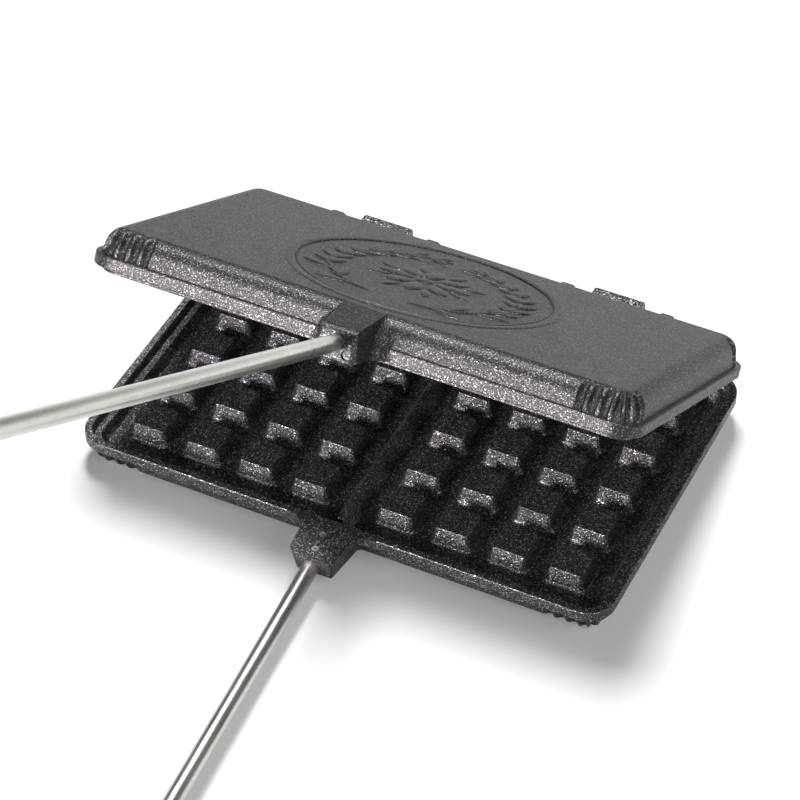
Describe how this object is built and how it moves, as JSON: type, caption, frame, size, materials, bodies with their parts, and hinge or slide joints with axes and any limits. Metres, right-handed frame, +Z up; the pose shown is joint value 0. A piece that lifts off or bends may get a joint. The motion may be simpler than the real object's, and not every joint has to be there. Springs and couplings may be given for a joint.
{
  "type": "stovetop waffle iron",
  "caption": "Long-handled stovetop waffle iron: two hinged cast-iron mould halves with square studs, each on a plated rod with a turned wooden grip, standing open.",
  "frame": {"origin": "centre of the lower half's flat base, on the surface it stands on", "axes": "+Z up; X along the long side of the head; the handles reach towards -Y and the hinge is at +Y"},
  "size_m": [0.238, 0.6791, 0.3918],
  "materials": {
    "iron": "seasoned black sand casting, fine grain",
    "rod_steel": "drawn bar with bright plating",
    "pin_steel": "plain spring steel",
    "grip_wood": "turned hardwood, thin clear lacquer",
    "ferrule_steel": "plated",
    "nut_steel": "plated"
  },
  "bodies": {
    "lower_half": {"lower_plate": "iron", "lower_rod": "rod_steel", "lower_rod_pins": "pin_steel", "lower_grip": "grip_wood", "lower_ferrule": "ferrule_steel", "lower_grip_nut": "nut_steel"},
    "upper_half": {"upper_plate": "iron", "upper_rod": "rod_steel", "upper_rod_pins": "pin_steel", "upper_grip": "grip_wood", "upper_ferrule": "ferrule_steel", "upper_grip_nut": "nut_steel", "left_hinge_pin": "pin_steel", "right_hinge_pin": "pin_steel"}
  },
  "joints": [
    {"name": "lid_hinge", "type": "hinge", "parent": "lower_half", "child": "upper_half", "pos_m": [0, 0.0845, 0.021], "axis": [-1, 0, 0], "range_deg": [-30, 75]}
  ]
}
